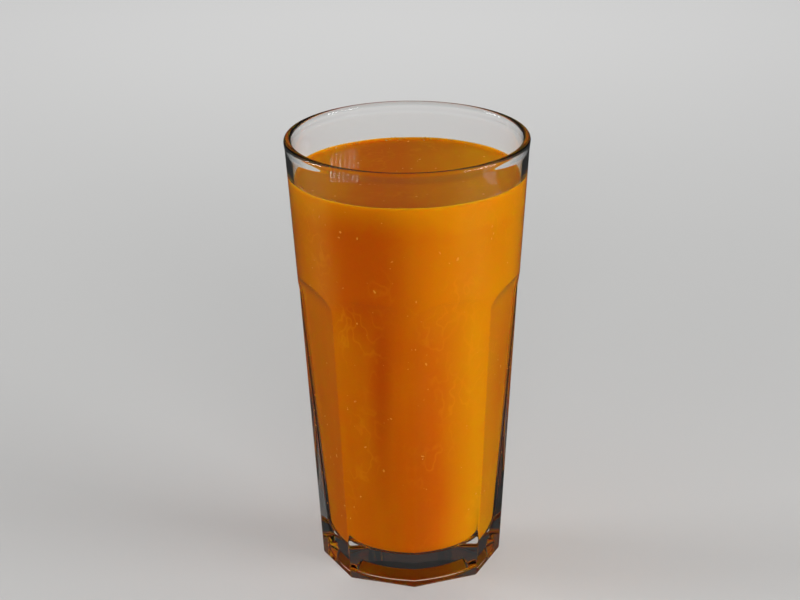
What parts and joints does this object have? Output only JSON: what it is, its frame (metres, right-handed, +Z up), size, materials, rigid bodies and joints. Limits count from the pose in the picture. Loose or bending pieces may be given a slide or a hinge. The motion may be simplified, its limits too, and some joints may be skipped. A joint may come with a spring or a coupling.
{
  "type": "glass of mango juice",
  "caption": "Tall tapered tumbler of thick clear glass with flat facets below a plain round band, filled with opaque mango juice to just under the rim.",
  "frame": {"origin": "on the table, at the middle of the foot", "axes": "+Z up the axis of the glass, towards the rim; one facet edge points towards -Y, the front"},
  "size_m": [0.08, 0.08, 0.1473],
  "materials": {
    "clear_glass": "clear fire-polished pressed glass",
    "mango_juice": "opaque golden orange juice with a wet, glossy surface and fine pulp"
  },
  "bodies": {
    "root": {"glass": "clear_glass", "juice": "mango_juice"}
  },
  "joints": []
}
